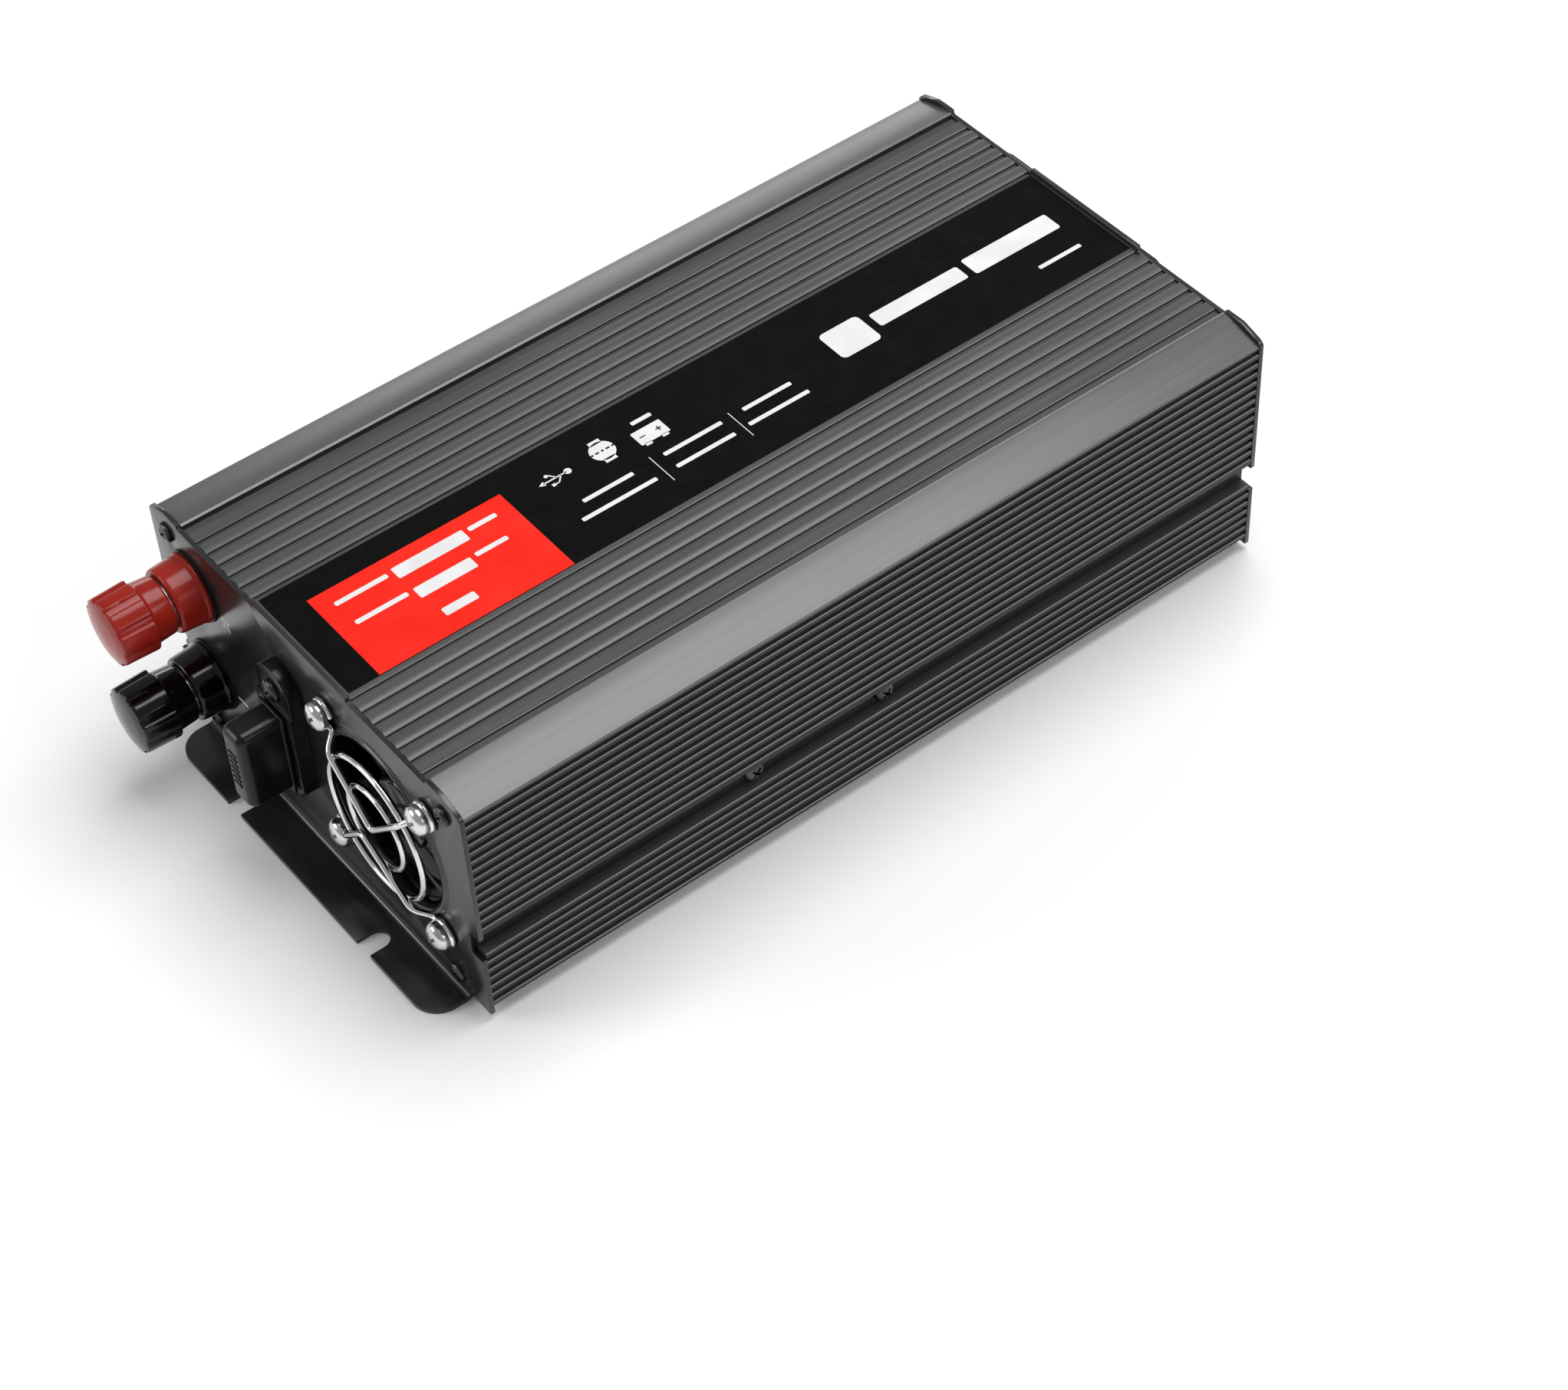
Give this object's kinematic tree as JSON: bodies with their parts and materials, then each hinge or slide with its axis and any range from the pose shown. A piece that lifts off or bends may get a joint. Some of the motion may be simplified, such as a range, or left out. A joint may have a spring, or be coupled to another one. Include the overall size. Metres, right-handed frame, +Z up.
{
  "type": "power inverter",
  "caption": "Car power inverter in a finned aluminium housing with bent steel end panels, screw battery posts, a plug-in fuse, a guarded fan and a mains outlet.",
  "frame": {"origin": "middle of the mounting plane, under the feet of the end panels", "axes": "+X across the width, the fan side; +Y along the length, from the battery end to the mains end; +Z up"},
  "size_m": [0.1434, 0.3034, 0.0804],
  "materials": {
    "housing": "satin dark grey anodised",
    "panel": "semi-gloss black powder coat",
    "label": "gloss black vinyl with printed colour",
    "black_screw": "black zinc",
    "black_plastic": "fine satin moulding",
    "rocker": "gloss",
    "red_plastic": "moulded, slightly glossy",
    "plated_steel": "bright nickel plate",
    "chrome_wire": "bright chrome",
    "brass": "plain",
    "fuse_plastic": "tinted",
    "zinc": "stamped",
    "fan_plastic": "gloss",
    "copper": "enamelled wire",
    "white_plastic": "gloss",
    "green_lens": "clear tint",
    "red_lens": "clear tint",
    "board": "solder mask",
    "ferrite": "sintered",
    "capacitor": "shrink sleeve",
    "transistor": "moulded",
    "aluminium_bar": "milled",
    "red_wire": "PVC",
    "black_wire": "PVC",
    "brown_wire": "PVC"
  },
  "bodies": {
    "housing": {"top_housing": "housing", "bottom_housing": "housing", "dc_end_panel": "panel", "ac_end_panel": "panel", "top_label": "label", "end_panel_screws": "black_screw", "side_screws": "black_screw", "terminal_gaskets": "black_plastic", "positive_terminal_base": "red_plastic", "negative_terminal_base": "black_plastic", "terminal_studs": "plated_steel", "terminal_nuts": "plated_steel", "terminal_bushes": "black_plastic", "fuse_holder_body": "black_plastic", "fuse_clips": "brass", "fuse_holder_screw": "black_screw", "fan_frame": "fan_plastic", "fan_stator": "copper", "fan_guard": "chrome_wire", "fan_screws": "plated_steel", "fan_nuts": "plated_steel", "ac_outlet": "black_plastic", "outlet_contacts": "brass", "outlet_earth_clips": "plated_steel", "usb_shell": "plated_steel", "usb_tongue": "white_plastic", "power_lens": "green_lens", "fault_lens": "red_lens", "rocker_housing": "black_plastic", "rocker_terminals": "brass", "main_circuit_board": "board", "control_board": "board", "transformer_cores": "ferrite", "transformer_windings": "copper", "input_capacitors": "capacitor", "output_capacitors": "capacitor", "power_transistors": "transistor", "transistor_clamp_bars": "aluminium_bar", "choke_core": "ferrite", "choke_winding": "copper", "buzzer": "black_plastic", "positive_battery_lead": "red_wire", "negative_battery_lead": "black_wire", "outlet_leads": "brown_wire", "fan_lead": "red_wire"},
    "positive_clamp": {"positive_clamp_washer": "plated_steel"},
    "positive_knob": {"positive_knob": "red_plastic", "positive_knob_insert": "brass"},
    "negative_clamp": {"negative_clamp_washer": "plated_steel"},
    "negative_knob": {"negative_knob": "black_plastic", "negative_knob_insert": "brass"},
    "fuse_cap": {"fuse_holder_cap": "black_plastic"},
    "fuse": {"blade_fuse": "fuse_plastic", "blade_fuse_element": "zinc"},
    "fan_rotor": {"fan_rotor": "fan_plastic", "fan_shaft": "plated_steel"},
    "rocker": {"rocker": "rocker"}
  },
  "joints": [
    {"name": "positive_clamp_slide", "type": "slide", "parent": "housing", "child": "positive_clamp", "axis": [0, -1, 0], "range_m": [0, 0.006]},
    {"name": "positive_knob_turn", "type": "hinge", "parent": "positive_clamp", "child": "positive_knob", "pos_m": [-0.054, -0.145, 0.061], "axis": [0, -1, 0], "range_deg": [0, 2160]},
    {"name": "negative_clamp_slide", "type": "slide", "parent": "housing", "child": "negative_clamp", "axis": [0, -1, 0], "range_m": [0, 0.006]},
    {"name": "negative_knob_turn", "type": "hinge", "parent": "negative_clamp", "child": "negative_knob", "pos_m": [-0.054, -0.145, 0.0272], "axis": [0, -1, 0], "range_deg": [0, 2160]},
    {"name": "fuse_cap_pull", "type": "slide", "parent": "housing", "child": "fuse_cap", "axis": [0, -1, 0], "range_m": [0, 0.036]},
    {"name": "fuse_pull", "type": "slide", "parent": "housing", "child": "fuse", "axis": [0, -1, 0], "range_m": [0, 0.022]},
    {"name": "fan_spin", "type": "hinge", "parent": "housing", "child": "fan_rotor", "pos_m": [0.033, -0.122, 0.0438], "axis": [0, 1, 0], "continuous": true},
    {"name": "rocker_tilt", "type": "hinge", "parent": "housing", "child": "rocker", "pos_m": [0.048, 0.1302, 0.046], "axis": [1, 0, 0], "range_deg": [-18, 0]}
  ],
  "couplings": [
    {"joint": "positive_knob_turn", "follows": "positive_clamp_slide", "rad_per_m": 6283.2},
    {"joint": "negative_knob_turn", "follows": "negative_clamp_slide", "rad_per_m": 6283.2},
    {"joint": "fuse_pull", "follows": "fuse_cap_pull", "ratio": 0.6}
  ]
}
